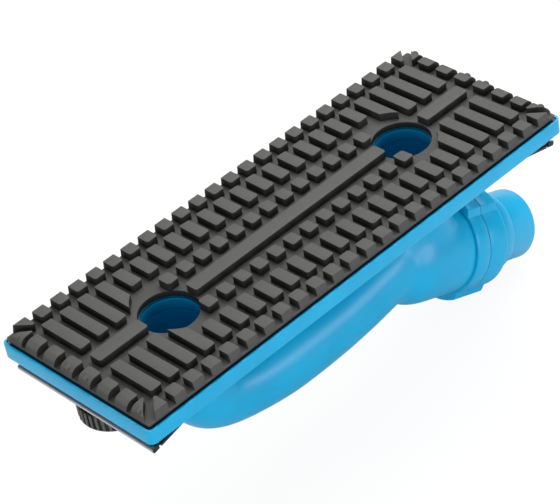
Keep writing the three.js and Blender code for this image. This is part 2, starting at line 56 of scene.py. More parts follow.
CLEAT_PITCH = 9.35
CLEAT_HEIGHT = 3.7
CLEAT_ROOT = 0.3                    # how far a cleat reaches into the sheet
LONG_BARS = 4                       # at each end of a row
SHORT_BARS_EACH_WAY = 7
SQUARES_EACH_WAY = 6
BAR_WIDTH = 5.8
CLEAT_CORNER = 1.1
RIB_HALF = 3.4
ROW_INNER = 8.3
SQUARE_OUTER = 15.2
SHORT_BAR_INNER = 19.9
BAR_OUTER = 32.6

PAD_HALF_LENGTH = 116.6
PAD_HALF_WIDTH = 42.3
PAD_TOP_HALF_WIDTH = 41.8
PAD_CORNER = 1.0
PAD_BAND = 1.2
PAD_INSET = 1.3
PAD_LOWER = 1.1

EDGE_CLEATS = 22
EDGE_PITCH = CLEAT_PITCH * 1.014
EDGE_INNER = 35.5
EDGE_CORNER = 1.2
EDGE_DEPTH = CLEAT_HEIGHT + PAD_BAND - 0.2      # down through most of the sheet's band
SPARE = 3                           # edge cleats are made this much too long, then trimmed
FLUSH = 0.02                        # how far trimmed cleats stand out from the sheet's side
END_CLEAT_INNER = 109.9
END_CLEAT_PITCH = 10.57
END_CLEAT_WIDTH = 6.8
END_CLEAT_CORNER = 0.9
END_CLEAT_ROUND = CLEAT_HEIGHT
END_CORNER_FROM = 32.3
CORNER_MITRE = 76.9
NUB_RADIUS = 1.6
NUB_PLACES = (-35.9, -5.3, 5.3, 35.9)

PORT_X = 67.3
PAD_HOLE = 12.7
PORT_HOLE = 12.2
PORT_SHADE_END = (-40.0, -34.0)     # levels between which the shade inside a port ends
CLEARING_X = 60.8
CLEARING_RADIUS = 20.1

BASE_HALF_LENGTH = 118.4
BASE_HALF_WIDTH = 43.9
BASE_TOP = -6.3
RIM_TOP = -5.6
RIM_SLIT = 0.65
RIM_CORNER_CUT = (160.1, 159.8)     # |x| + |y| where the slit's shade stops short of a corner
BASE_BOTTOM = -12.4
DECK = 2.6

FOOT_TOP = -12.7
FOOT_RADIUS = 21.0
FLANGE = 3.6
FOOT_SCREW_Y = 23.5
DUCT_RADIUS = 14.6
GRIP_Z = -61.0
GRIP_RADIUS = 17.6
WALL = 2.4
ELBOW_CHEEK = (57, 0, -48.5)        # middle of a ball that fills out the sides of the elbow
ELBOW_CHEEK_RADIUS = 15.8

OUTLET_TILT = math.radians(20.9)
OUTLET_X = 79.8
OUTLET_Z = -69.1
TUBE_RADIUS = 21.5
TUBE_FROM = -33.5
SHOULDER_LENGTH = 12.5
SHOULDER_DEPTH = 5.5
COLLAR_RADIUS = 22.6
COLLAR_FROM = 0.9                   # places along the outlet's axis
INNER_RING_TO = 9.1
OUTER_RING_FROM = 9.4
OUTER_RING_TO = 21.0
LOBE_RADIUS = 25.0
LOBE_HALF_ANGLE = math.radians(37)
LOBE_SHOULDER = math.radians(6.5)
TURNING_FLANGE = 21.3
NECK = 19.2
NECK_TO = 21.4

CLAMP_PIVOT_X = 89.5
CLAMP_REACH = 27.5
CLAMP_HALF_WIDTH = 40.2
CLAMP_TILT = math.radians(13)
PLATE = 1.2                         # the plate's thickness, and the lip's height above it
LIP = 1.2
STUD_X = 101.6
KNOB_TOP = -20.8
KNOB_BOTTOM = -28.4
KNOB_RADIUS = 15.2
KNOB_RIBS = 35


# ---------------------------------------------------------------- node trees

class Value:
    """A number in a node tree, written as arithmetic on its sockets."""

    def __init__(self, nodes, socket):
        self.nodes = nodes
        self.socket = socket

    def _math(self, operation, first, second=None):
        node = self.nodes.new("ShaderNodeMath")
        node.operation = operation
        for slot, value in enumerate((first, second)):
            if isinstance(value, Value):
                self.nodes.id_data.links.new(value.socket, node.inputs[slot])
            elif value is not None:
                node.inputs[slot].default_value = value
        return Value(self.nodes, node.outputs[0])

    def __add__(self, other):
        return self._math("ADD", self, other)

    def __radd__(self, other):
        return self._math("ADD", other, self)

    def __sub__(self, other):
        return self._math("SUBTRACT", self, other)

    def __rsub__(self, other):
        return self._math("SUBTRACT", other, self)

    def __mul__(self, other):
        return self._math("MULTIPLY", self, other)

    def __rmul__(self, other):
        return self._math("MULTIPLY", other, self)

    def __abs__(self):
        return self._math("ABSOLUTE", self)

    def capped(self, limit):
        return self._math("MINIMUM", self, limit)

    def root(self):
        return self._math("SQRT", self)

    def between(self, low, high):
        """0 at low and 1 at high, smoothly."""
        node = self.nodes.new("ShaderNodeMapRange")
        node.interpolation_type = "SMOOTHSTEP"
        self.nodes.id_data.links.new(self.socket, node.inputs["Value"])
        node.inputs["From Min"].default_value = low
        node.inputs["From Max"].default_value = high
        return Value(self.nodes, node.outputs["Result"])


class NodeTree:
    """Nodes under construction, each made from its type, its settings and its sockets."""

    def __init__(self, tree):
        self.nodes = tree.nodes
        self.links = tree.links

    def node(self, kind, settings=None, **sockets):
        node = self.nodes.new(kind)
        for name, value in (settings or {}).items():
            setattr(node, name, value)
        for name, value in sockets.items():
            self.wire(value, node.inputs[name.replace("_", " ")])
        return node

    def wire(self, value, socket):
        """Sets a socket, or links it to one output or to a list of them."""
        if isinstance(value, Value):
            value = value.socket
        if isinstance(value, bpy.types.NodeSocket):
            self.links.new(value, socket)
        elif isinstance(value, list):
            for output in value:
                self.links.new(output, socket)
        else:
            socket.default_value = value

    def value(self, socket):
        return Value(self.nodes, socket)


class Finish(NodeTree):
    """A material: one Principled shader and the nodes that feed it."""

    def __init__(self, name, **constants):
        self.material = bpy.data.materials.new(name)
        self.material.use_nodes = True
        super().__init__(self.material.node_tree)
        self.shader = self.nodes["Principled BSDF"]
        for socket, value in constants.items():
            self.wire(value, self.shader.inputs[socket.replace("_", " ")])
        self.place = self.node("ShaderNodeTexCoord").outputs["Object"]

    def speckle(self, scale, detail=4.0, roughness=0.6, stretch=(1, 1, 1)):
        """Noise from 0 to 1. Its scale is in waves per metre."""
        place = self.node("ShaderNodeMapping", Vector=self.place, Scale=stretch)
        noise = self.node("ShaderNodeTexNoise", Vector=place.outputs[0], Scale=scale,
                          Detail=detail, Roughness=roughness)
        return self.value(noise.outputs["Fac"])

    def axis(self, letter):
        """The place along one axis, in millimetres."""
        split = self.node("ShaderNodeSeparateXYZ", Vector=self.place)
        return self.value(split.outputs[letter]) * (1 / MM)

    def from_axis_at(self, x):
        """Distance from the nearer of the two upright axes at x and -x, in millimetres."""
        along = abs(self.axis("X")) - x
        across = self.axis("Y")
        return (along * along + across * across).root()

    def facing(self, letter):
        normal = self.node("ShaderNodeTexCoord").outputs["Normal"]
        split = self.node("ShaderNodeSeparateXYZ", Vector=normal)
        return self.value(split.outputs[letter])

    def blend(self, mask, first, second):
        """The first colour where the mask is 0, the second where it is 1."""
        mix = self.node("ShaderNodeMix", {"data_type": "RGBA"}, Factor=mask)
        for slot, colour in ((6, first), (7, second)):
            linked = isinstance(colour, bpy.types.NodeSocket)
            self.wire(colour if linked else (*colour, 1), mix.inputs[slot])
        return mix.outputs[2]

    def edges(self, radius):
        """0 on flats and up to 1 close to a convex edge."""
        bevel = self.node("ShaderNodeBevel", {"samples": 4}, Radius=radius * MM)
        geometry = self.node("ShaderNodeNewGeometry")
        dot = self.node("ShaderNodeVectorMath", {"operation": "DOT_PRODUCT"})
        self.wire(bevel.outputs[0], dot.inputs[0])
        self.wire(geometry.outputs["Normal"], dot.inputs[1])
        return 1 - self.value(dot.outputs["Value"])

    def feed(self, socket, value):
        self.wire(value, self.shader.inputs[socket])

    def relief(self, height, depth, strength):
        """Bumps of a height from 0 to 1 times a depth in millimetres."""
        bump = self.node("ShaderNodeBump", Strength=strength, Distance=depth * MM, Height=height)
        self.feed("Normal", bump.outputs[0])


class Layout(NodeTree):
    """A Geometry Nodes tree with named inputs, which lays out what repeats."""

    def __init__(self, name, **inputs):
        self.tree = bpy.data.node_groups.new(name, "GeometryNodeTree")
        super().__init__(self.tree)
        self.tree.interface.new_socket("Geometry", in_out="OUTPUT",
                                       socket_type="NodeSocketGeometry")
        self.identifiers = {}
        for label, value in inputs.items():
            kind = "NodeSocketInt" if isinstance(value, int) else "NodeSocketFloat"
            socket = self.tree.interface.new_socket(label, in_out="INPUT", socket_type=kind)
            socket.default_value = value
            self.identifiers[label] = socket.identifier
        self.values = inputs
        self.input = self.node("NodeGroupInput")
        self.output = self.node("NodeGroupOutput")

    def given(self, label):
        return self.value(self.input.outputs[label])

    def vector(self, x=0.0, y=0.0, z=0.0):
        return self.node("ShaderNodeCombineXYZ", X=x, Y=y, Z=z).outputs[0]

    def built(self, name, geometry, material):
        """Turns the layout into a plain mesh object."""
        real = self.node("GeometryNodeRealizeInstances", Geometry=geometry)
        painted = self.node("GeometryNodeSetMaterial", Geometry=real.outputs[0],
                            Material=material)
        self.wire(painted.outputs[0], self.output.inputs[0])
        piece = bpy.data.objects.new(name, bpy.data.meshes.new(name))
        bpy.context.scene.collection.objects.link(piece)
        modifier = piece.modifiers.new(name, "NODES")
        modifier.node_group = self.tree
        for label, value in self.values.items():
            modifier[self.identifiers[label]] = value
        bpy.context.view_layer.update()
        return evaluated(piece)


# ---------------------------------------------------------------- materials

def blue_moulding():
    """Glossy injection-moulded plastic with faint flow marks and handling scuffs, and painted shade
    inside the ports and in the slit round the pad.
    """
    deep, bright, scuffed = (0.0, 0.296, 0.540), (0.002, 0.330, 0.585), (0.05, 0.40, 0.66)
    port_shade, slit_shade = (0.0, 0.11, 0.28), (0.0, 0.02, 0.04)
    finish = Finish("blue_moulding", IOR=1.38)
    cloud = finish.speckle(28, detail=2)
    grain = finish.speckle(900, detail=2)
    scuffs = finish.speckle(140, detail=6, roughness=0.75, stretch=(0.35, 1, 1))
    worn = scuffs.between(0.60, 0.78)
    colour = finish.blend(cloud.between(0.3, 0.7), deep, bright)
    colour = finish.blend(worn * 0.22, colour, scuffed)
    height = finish.axis("Z")
    # Painted shade inside the two ports, from just under the deck down into the riser.
    in_port = finish.from_axis_at(PORT_X).between(PORT_HOLE + 1.2, PORT_HOLE + 0.4)
    in_port = in_port * height.between(BASE_TOP - 0.3, BASE_TOP - 2.2)
    in_port = in_port * height.between(*PORT_SHADE_END)
    colour = finish.blend(in_port * 0.7, colour, port_shade)
    along = abs(finish.axis("X"))
    across = abs(finish.axis("Y"))
    # Painted shade in the slit between the pad and the rim, stopping short of the corners.
    in_slit = height.between(RIM_TOP, RIM_TOP - 0.3) * height.between(BASE_TOP - 1.2, BASE_TOP - 0.5)
    in_slit = in_slit * along.between(BASE_HALF_LENGTH - 0.5, BASE_HALF_LENGTH - 0.7)
    in_slit = in_slit * across.between(BASE_HALF_WIDTH - 0.5, BASE_HALF_WIDTH - 0.7)
    in_slit = in_slit * (along + across).between(*RIM_CORNER_CUT)
    colour = finish.blend(in_slit * 0.9, colour, slit_shade)
    finish.feed("Base Color", colour)
    finish.feed("Roughness", 0.30 + cloud * 0.05 + worn * 0.14)
    finish.relief(grain * 0.6 + cloud * 1.4, 0.06, 0.35)
    return finish.material


def sole_rubber():
    """Black moulded rubber, greyed by dust and painted light on upward and outer faces, with painted
    shade between the end cleats.
    """
    black, dusty_lit_grey, edge_grey = (0.018, 0.018, 0.017), (0.086, 0.085, 0.083), (0.16, 0.16, 0.155)
    finish = Finish("sole_rubber", IOR=1.5, Specular_IOR_Level=0.3)
    height = finish.axis("Z")
    across = abs(finish.axis("Y"))
    along = abs(finish.axis("X"))
    mottling = finish.speckle(170, detail=5)
    fine = finish.speckle(1500, detail=3)
    top = height.between(-1.2, -0.2)
    upward = finish.facing("Z").between(0.35, 0.9)
    long_rim = across.between(41.3, 41.6) * abs(finish.facing("Y")).between(0.3, 0.7)
    end_rim = along.between(114.2, 115.8) * abs(finish.facing("X")).between(0.2, 0.6)
    rim = (long_rim + end_rim).capped(1.0)
    # Dust and painted light together: upward faces and the edge cleats' outer faces greyer, side
    # walls left black as if in shade.
    dust_and_painted_light = (0.20 * top * upward + 0.60 * upward + 0.60 * rim).capped(1.0)
    # Painted shade on the floors of the gaps between the end cleats.
    end_gap_painted_shade = along.between(END_CLEAT_INNER - 0.1, END_CLEAT_INNER + 0.7)
    end_gap_painted_shade = end_gap_painted_shade * across.between(33.0, 32.2) * height.between(-3.0, -3.4) * upward
    dust_and_painted_light = dust_and_painted_light * (1 - end_gap_painted_shade * 0.8) * (0.80 + mottling * 0.4)
    colour = finish.blend(dust_and_painted_light.capped(1.0), black, dusty_lit_grey)
    # Lighter grey along the convex edges of the tops.
    edge = finish.edges(0.4).between(0.03, 0.35)
    colour = finish.blend(edge * top * 0.35, colour, edge_grey)
    finish.feed("Base Color", colour)
    finish.feed("Roughness", 0.62 + mottling * 0.22)
    finish.relief(fine * 0.5 + mottling, 0.12, 0.5)
    return finish.material


def soft_seal():
    finish = Finish("seal_rubber", Base_Color=(0.012, 0.012, 0.012, 1))
    grain = finish.speckle(700)
    finish.feed("Roughness", 0.6 + grain * 0.25)
    finish.relief(grain, 0.05, 0.5)
    return finish.material


def pressed_steel():
    """Pale sheet with fine rolling lines, with painted shade and dark reflection on its side faces
    and along its sides.
    """
    bright, stained, painted_side_shade = (0.60, 0.60, 0.61), (0.48, 0.49, 0.50), (0.012, 0.02, 0.03)
    finish = Finish("pressed_steel", Metallic=1.0)
    lines = finish.speckle(60, detail=8, roughness=0.8, stretch=(40, 1, 40))
    stains = finish.speckle(90, detail=4)
    colour = finish.blend(stains.between(0.35, 0.75), bright, stained)
    # Painted shade and dark navy reflection of the base's underside, on the side faces and on a
    # strip along each side.
    side_shade_mask = abs(finish.facing("Y")).between(0.75, 0.95)
    side_strip = abs(finish.axis("Y")).between(CLAMP_HALF_WIDTH - 1.1, CLAMP_HALF_WIDTH - 0.9)
    side_strip = side_strip * abs(finish.axis("X")).between(115.0, 114.6)
    side_shade_mask = (side_shade_mask + side_strip).capped(1.0)
    colour = finish.blend(side_shade_mask * 0.95, colour, painted_side_shade)
    finish.feed("Base Color", colour)
    finish.feed("Roughness", 0.42 + lines * 0.14 + stains * 0.06)
    finish.relief(lines, 0.03, 0.4)
    return finish.material


def zinc_plating():
    finish = Finish("zinc_plating", Metallic=1.0)
    haze = finish.speckle(260, detail=5)
    colour = finish.blend(haze.between(0.3, 0.7), (0.64, 0.64, 0.61), (0.55, 0.55, 0.50))
    finish.feed("Base Color", colour)
    finish.feed("Roughness", 0.24 + haze * 0.22)
    finish.relief(haze, 0.04, 0.3)
    return finish.material


def knob_plastic():
    """Black plastic, lighter grey towards the crests of the knob's ribs."""
    black, edge_grey = (0.012, 0.012, 0.012), (0.085, 0.09, 0.085)
    finish = Finish("knob_plastic", IOR=1.48)
    haze = finish.speckle(300, detail=4)
    # Lighter grey towards the crests of the ribs.
    crest = finish.from_axis_at(STUD_X).between(KNOB_RADIUS - 0.6, KNOB_RADIUS - 0.1)
    finish.feed("Base Color", finish.blend(crest * (0.5 + haze * 0.5), black, edge_grey))
    finish.feed("Roughness", 0.38 + haze * 0.2)
    finish.relief(haze, 0.06, 0.4)
    return finish.material


def turned_brass():
    finish = Finish("turned_brass", Metallic=1.0)
    haze = finish.speckle(320, detail=4)
    colour = finish.blend(haze.between(0.3, 0.7), (0.72, 0.50, 0.20), (0.58, 0.40, 0.16))
    finish.feed("Base Color", colour)
    finish.feed("Roughness", 0.25 + haze * 0.2)
    finish.relief(haze, 0.03, 0.4)
    return finish.material


BLUE = blue_moulding()
RUBBER = sole_rubber()
SEAL = soft_seal()
SHEET_STEEL = pressed_steel()
ZINC = zinc_plating()
BLACK = knob_plastic()
BRASS = turned_brass()


# ---------------------------------------------------------------- meshes

def link(name, mesh, material):
    piece = bpy.data.objects.new(name, mesh)
    bpy.context.scene.collection.objects.link(piece)
    mesh.materials.clear()
    mesh.materials.append(material)
    return piece


def from_bmesh(name, shape, material):
    bmesh.ops.remove_doubles(shape, verts=shape.verts, dist=1e-7)
    bmesh.ops.recalc_face_normals(shape, faces=shape.faces)
    mesh = bpy.data.meshes.new(name)
    shape.to_mesh(mesh)
    shape.free()
    return link(name, mesh, material)


def loft(name, rings, material, closed=False):
    """Skins a list of rings of points in millimetres. Open ends are capped."""
    shape = bmesh.new()
    loops = [[shape.verts.new(Vector(p) * MM) for p in ring] for ring in rings]
    pairs = list(zip(loops, loops[1:]))
    if closed:
        pairs.append((loops[-1], loops[0]))
    for low, high in pairs:
        count = len(low)
        for k in range(count):
            m = (k + 1) % count
            shape.faces.new((low[k], low[m], high[m], high[k]))
    if not closed:
        shape.faces.new(loops[0])
        shape.faces.new(loops[-1])
    return from_bmesh(name, shape, material)


def turned(name, profile, material, segments, place=None):
    """A body of revolution about Z. A profile off the axis at both ends closes on itself."""
    solid = profile[0][0] == 0 and profile[-1][0] == 0
    points = profile[1:-1] if solid else profile
    rings = []
    for radius, height in points:
        ring = []
        for k in range(segments):
            angle = 2 * math.pi * k / segments
            ring.append((radius * math.cos(angle), radius * math.sin(angle), height))
        rings.append(ring)
    piece = loft(name, rings, material, closed=not solid)
    if place is not None:
        piece.data.transform(place)
    return piece


def prism(name, outline, low, high, material, axis="Z"):
    """An outline raised along an axis. The outline is given in the other two axes."""
    shape = bmesh.new()
    place = {
        "Z": lambda a, b, c: (a, b, c),
        "Y": lambda a, b, c: (a, c, b),
        "X": lambda a, b, c: (c, a, b),
    }[axis]
    ends = []
    for level in (low, high):
        ends.append([shape.verts.new(Vector(place(a, b, level)) * MM) for a, b in outline])
    for end in ends:
        shape.faces.new(end)
    count = len(outline)
    for k in range(count):
        m = (k + 1) % count
        shape.faces.new((ends[0][k], ends[0][m], ends[1][m], ends[1][k]))
    return from_bmesh(name, shape, material)


def cylinder(x, y, radius, low, high, segments):
    outline = [(x + radius * math.cos(2 * math.pi * k / segments),
                y + radius * math.sin(2 * math.pi * k / segments)) for k in range(segments)]
    return prism("cutter", outline, low, high, None)


def holes_at(x, radius):
    """Two upright cutters, at x and -x, that go right through the sole."""
    return [cylinder(side * x, 0, radius, BELOW, ABOVE, 96) for side in (-1, 1)]


def ball(name, middle, radius, material, segments, rings):
    shape = bmesh.new()
    bmesh.ops.create_uvsphere(shape, u_segments=segments, v_segments=rings, radius=radius * MM)
    bmesh.ops.translate(shape, verts=shape.verts, vec=Vector(middle) * MM)
    return from_bmesh(name, shape, material)


def quarter_turn(steps):
    """Angles from 0 to a right angle."""
    return [math.pi / 2 * step / steps for step in range(steps + 1)]


def rounded_rectangle(half_length, half_width, radius, x=0.0, y=0.0, steps=5):
    points = []
    for corner, (sx, sy) in enumerate(((1, 1), (-1, 1), (-1, -1), (1, -1))):
        cx = x + sx * (half_length - radius)
        cy = y + sy * (half_width - radius)
        for step in range(steps + 1):
            angle = math.pi / 2 * (corner + step / steps)
            points.append((cx + radius * math.cos(angle), cy + radius * math.sin(angle)))
    return points


def evaluated(piece):
    """The piece with its modifiers made real."""
    graph = bpy.context.evaluated_depsgraph_get()
    mesh = bpy.data.meshes.new_from_object(piece.evaluated_get(graph))
    piece.modifiers.clear()
    old = piece.data
    piece.data = mesh
    bpy.data.meshes.remove(old)
    return piece


def combine(piece, others, operation):
    """Joins or cuts a piece by others, which are used up."""
    for other in others:
        cut = piece.modifiers.new(operation.lower(), "BOOLEAN")
        cut.operation = operation
        cut.solver = "EXACT"
        cut.object = other
    bpy.context.view_layer.update()
    evaluated(piece)
    for other in others:
        mesh = other.data
        bpy.data.objects.remove(other)
        bpy.data.meshes.remove(mesh)
    return piece


def merge(name, pieces, material):
    """Gathers separate shells into one object."""
    shape = bmesh.new()
    for piece in pieces:
        shape.from_mesh(piece.data)
    for piece in pieces:
        mesh = piece.data
        bpy.data.objects.remove(piece)
        bpy.data.meshes.remove(mesh)
    mesh = bpy.data.meshes.new(name)
    shape.to_mesh(mesh)
    shape.free()
    return link(name, mesh, material)


def soften(piece, width, segments, angle):
    """Rounds the sharp edges and shades the rest smooth."""
    bevel = piece.modifiers.new("edge rounding", "BEVEL")
    bevel.width = width * MM
    bevel.segments = segments
    bevel.limit_method = "ANGLE"
    bevel.angle_limit = math.radians(angle)
    bpy.context.view_layer.update()
    evaluated(piece)
    return shade(piece, angle)


def shade(piece, angle=35):
    """Smooth, with edges over the angle kept sharp."""
    piece.data.shade_smooth()
    piece.data.set_sharp_from_angle(angle=math.radians(angle))
    return piece


def finished(piece, body, slot, *nodes):
    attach(piece, body)
    if nodes:
        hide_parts(*nodes)


OUTLET = (Matrix.Translation((OUTLET_X * MM, 0, OUTLET_Z * MM))
          @ Matrix.Rotation(math.pi / 2 + OUTLET_TILT, 4, "Y"))


# ---------------------------------------------------------------- rows of cleats

def cleat_row(name, first, count, side, inner, outer, pitch=CLEAT_PITCH, corner=CLEAT_CORNER,
              depth=CLEAT_HEIGHT + CLEAT_ROOT):
    """A row of rounded cleats along X, on one side of the middle, with their tops at level 0.

    Each reaches from inner to outer across the sole. The first place is counted in pitches.
    """
    row = Layout(name, count=count, pitch=pitch * MM, first=first * pitch * MM,
                 middle=side * (inner + outer) / 2 * MM, width=BAR_WIDTH * MM,
                 length=(outer - inner) * MM, corner=corner * MM, height=depth * MM)
    outline = row.node("GeometryNodeCurvePrimitiveQuadrilateral", Width=row.given("width"),
                       Height=row.given("length"))
    rounded = row.node("GeometryNodeFilletCurve", Curve=outline.outputs[0],
                       Radius=row.given("corner"))
    choose(rounded, "Poly", Count=5)
    face = row.node("GeometryNodeFillCurve", Curve=rounded.outputs[0])
    choose(face, "N-gons")
    raised = row.node("GeometryNodeExtrudeMesh", Mesh=face.outputs[0], Offset=row.vector(z=1.0),
                      Offset_Scale=row.given("height"), Individual=False)
    floor = row.node("GeometryNodeFlipFaces", Mesh=face.outputs[0])
    closed = row.node("GeometryNodeJoinGeometry", Geometry=[floor.outputs[0], raised.outputs[0]])
    welded = row.node("GeometryNodeMergeByDistance", Geometry=closed.outputs[0])
    start = row.vector(row.given("first"), row.given("middle"), 0.0 - row.given("height"))
    places = row.node("GeometryNodeMeshLine", Count=row.given("count"), Start_Location=start,
                      Offset=row.vector(row.given("pitch")))
    cleats = row.node("GeometryNodeInstanceOnPoints", Points=places.outputs[0],
                      Instance=welded.outputs[0])
    return row.built(name, cleats.outputs[0], RUBBER)


def choose(node, mode, **sockets):
    """Sets a node's mode, which is a socket or a property, and its sockets after that."""
    if "Mode" in node.inputs:
        node.inputs["Mode"].default_value = mode
    else:
        node.mode = mode.upper().replace("-", "")
    for name, value in sockets.items():
        node.inputs[name].default_value = value


# ---------------------------------------------------------------- sole pad

def bar_rows():
    rows = []
    for side in (-1, 1):
        for first in (-SHORT_BARS_EACH_WAY - LONG_BARS, SHORT_BARS_EACH_WAY + 1):
            rows.append(cleat_row("long_bars", first, LONG_BARS, side, ROW_INNER, BAR_OUTER))
        rows.append(cleat_row("short_bars", -SHORT_BARS_EACH_WAY, 2 * SHORT_BARS_EACH_WAY + 1,
                              side, SHORT_BAR_INNER, BAR_OUTER))
    bars = merge("bars", rows, RUBBER)
    return combine(bars, holes_at(CLEARING_X, CLEARING_RADIUS), "DIFFERENCE")


def square_rows():
    rows = [cleat_row("squares", -SQUARES_EACH_WAY, 2 * SQUARES_EACH_WAY + 1, side, ROW_INNER,
                      SQUARE_OUTER) for side in (-1, 1)]
    squares = merge("squares", rows, RUBBER)
    return combine(squares, holes_at(PORT_X, PAD_HOLE), "DIFFERENCE")


def centre_ribs():
    """A long rib between the two holes and a short one outside each clearing."""
    hole_edge = PORT_X - PAD_HOLE
    outer_start = CLEARING_X + CLEARING_RADIUS - 0.4
    outer_end = (SHORT_BARS_EACH_WAY + LONG_BARS) * CLEAT_PITCH + BAR_WIDTH / 2
    half = (outer_end - outer_start) / 2
    ribs = []
    for x, half_length in ((0, hole_edge), (outer_end - half, half), (half - outer_end, half)):
        outline = rounded_rectangle(half_length, RIB_HALF, CLEAT_CORNER, x=x)
        ribs.append(prism("rib", outline, -CLEAT_HEIGHT - CLEAT_ROOT, 0, RUBBER))
    return merge("centre_ribs", ribs, RUBBER)


def leaning_edges():
    """Everything between the leaning outer faces of the two long edges."""
    half = PAD_HALF_WIDTH + FLUSH
    bottom, top, reach = -9, 3, 130
    outline = [(-half, bottom), (half, bottom), (half, -CLEAT_HEIGHT), (PAD_TOP_HALF_WIDTH, 0),
               (PAD_TOP_HALF_WIDTH, top), (-PAD_TOP_HALF_WIDTH, top), (-PAD_TOP_HALF_WIDTH, 0),
               (-half, -CLEAT_HEIGHT)]
    return prism("envelope", outline, -reach, reach, None, "X")


def long_edge_rows():
    rows = [cleat_row("edge_cleats", (1 - EDGE_CLEATS) / 2, EDGE_CLEATS, side, EDGE_INNER,
                      PAD_HALF_WIDTH + SPARE, EDGE_PITCH, EDGE_CORNER, EDGE_DEPTH)
            for side in (-1, 1)]
    return merge("edge_cleats", rows, RUBBER)


def end_profile():
    """Side view of an end cleat: the paper bends over its rounded outer edge."""
    middle = PAD_HALF_LENGTH - END_CLEAT_ROUND
    reach = PAD_HALF_LENGTH + FLUSH
    points = [(END_CLEAT_INNER, -EDGE_DEPTH), (reach, -EDGE_DEPTH), (reach, -CLEAT_HEIGHT - 0.1)]
    for angle in quarter_turn(12):
        points.append((middle + END_CLEAT_ROUND * math.cos(angle),
                       -END_CLEAT_ROUND + END_CLEAT_ROUND * math.sin(angle)))
    points.append((END_CLEAT_INNER, 0))
    return points


def corner_rounded(outline, radius, steps=4):
    """The outline with a short curve in place of each corner."""
    points = []
    count = len(outline)
    for k, corner in enumerate(outline):
        here = Vector(corner)
        back = Vector(outline[k - 1]) - here
        ahead = Vector(outline[(k + 1) % count]) - here
        half = back.angle(ahead) / 2
        run = min(radius / math.tan(half), 0.45 * back.length, 0.45 * ahead.length)
        start = here + back.normalized() * run
        end = here + ahead.normalized() * run
        for step in range(steps + 1):
            t = step / steps
            point = start * (1 - t) ** 2 + here * 2 * t * (1 - t) + end * t ** 2
            points.append((point.x, point.y))
    return points


def end_cleats():
    """The six rounded cleats of one end, the mitred ones beside them, and the corners."""
    reach = PAD_HALF_LENGTH + SPARE
    outlines = []
    for k in range(-3, 3):
        outlines.append(rounded_rectangle((reach - END_CLEAT_INNER) / 2, END_CLEAT_WIDTH / 2,
                                          END_CLEAT_CORNER, x=(END_CLEAT_INNER + reach) / 2,
                                          y=(k + 0.5) * END_CLEAT_PITCH))
    for side in (-1, 1):
        outlines.append(corner_rounded([
            (END_CLEAT_INNER, side * END_CORNER_FROM),
            (reach, side * END_CORNER_FROM),
            (reach, side * (reach - CORNER_MITRE)),
            (END_CLEAT_INNER, side * (END_CLEAT_INNER - CORNER_MITRE)),
        ], END_CLEAT_CORNER))
    blocks = [prism("end_cleat", outline, -EDGE_DEPTH, 1, RUBBER) for outline in outlines]
    cleats = merge("end_cleats", blocks, RUBBER)
    half = PAD_HALF_WIDTH + 9
    strip = prism("strip", end_profile(), -half, half, None, "Y")
    combine(cleats, [strip], "INTERSECT")
    corners = [long_side_corner(side) for side in (-1, 1)]
    return merge("end_cleats", [cleats, *corners], RUBBER)


def long_side_corner(side):
    """The last cleat of a long edge, cut aslant where the corner channel runs out."""
    start, inner_end, outer_end = 106.1, 107.4, 115.1
    inner_y, outer_y = side * EDGE_INNER, side * (PAD_HALF_WIDTH + SPARE)
    outline = corner_rounded([(start, inner_y), (inner_end, inner_y), (outer_end, outer_y),
                              (start, outer_y)], 0.6)
    return prism("corner", outline, -EDGE_DEPTH, 0, RUBBER)


def mirrored_in_x(piece):
    copy = piece.copy()
    copy.data = piece.data.copy()
    bpy.context.scene.collection.objects.link(copy)
    copy.data.transform(Matrix.Scale(-1, 4, (1, 0, 0)))
    copy.data.flip_normals()
    return copy


def sole_sheet():
    top = -CLEAT_HEIGHT
    step = top - PAD_BAND
    sheet = prism("sheet", rounded_rectangle(PAD_HALF_LENGTH, PAD_HALF_WIDTH, PAD_CORNER),
                  step, top, RUBBER)
    lower = prism("lower", rounded_rectangle(PAD_HALF_LENGTH - PAD_INSET,
                                             PAD_HALF_WIDTH - PAD_INSET, PAD_CORNER),
                  step - PAD_LOWER, step + 0.2, RUBBER)
    combine(sheet, [lower], "UNION")
    return combine(sheet, holes_at(PORT_X, PAD_HOLE), "DIFFERENCE")


def moulding_nubs():
    """Round nubs that swell out of the rounded shoulders of some end cleats."""
    x = PAD_HALF_LENGTH - NUB_RADIUS
    nubs = [ball("nub", (end * x, y, -NUB_RADIUS), NUB_RADIUS, RUBBER, 20, 12)
            for end in (-1, 1) for y in NUB_PLACES]
    return merge("nubs", nubs, RUBBER)


def make_sole():
    near_end = end_cleats()
    outer = merge("outer_cleats", [long_edge_rows(), near_end, mirrored_in_x(near_end)], RUBBER)
    combine(outer, [leaning_edges()], "INTERSECT")
    cleats = merge("sole_cleats", [bar_rows(), square_rows(), centre_ribs(), outer], RUBBER)
    soften(cleats, 0.32, 2, 50)
    sheet = soften(sole_sheet(), 0.25, 2, 50)
    pad = merge("cleated_sole", [cleats, sheet, shade(moulding_nubs())], RUBBER)
    shade(pad, 50)
    finished(pad, "head", "black_rubber", "sole_pad")


# ---------------------------------------------------------------- base plate

def base_pockets():
    """The hollows between the ribs of the underside."""
    seat_from = 86.0
    rib = 1.8
    columns = 7
    rim = 2.4
    long_rib = 15.0
    corner = 1.4
    roof = BASE_TOP - DECK
    width = (2 * seat_from - rib) / columns
    bands = ((-BASE_HALF_WIDTH + rim, -long_rib - rib / 2),
             (-long_rib + rib / 2, long_rib - rib / 2),
             (long_rib + rib / 2, BASE_HALF_WIDTH - rim))
    pockets = []
    for column in range(columns):
        x = -seat_from + rib + column * width + (width - rib) / 2
        for low, high in bands:
            outline = rounded_rectangle((width - rib) / 2, (high - low) / 2, corner,
                                        x=x, y=(low + high) / 2, steps=3)
            pockets.append(prism("pocket", outline, BASE_BOTTOM - 1, roof, None))
    return merge("pockets", pockets, None)


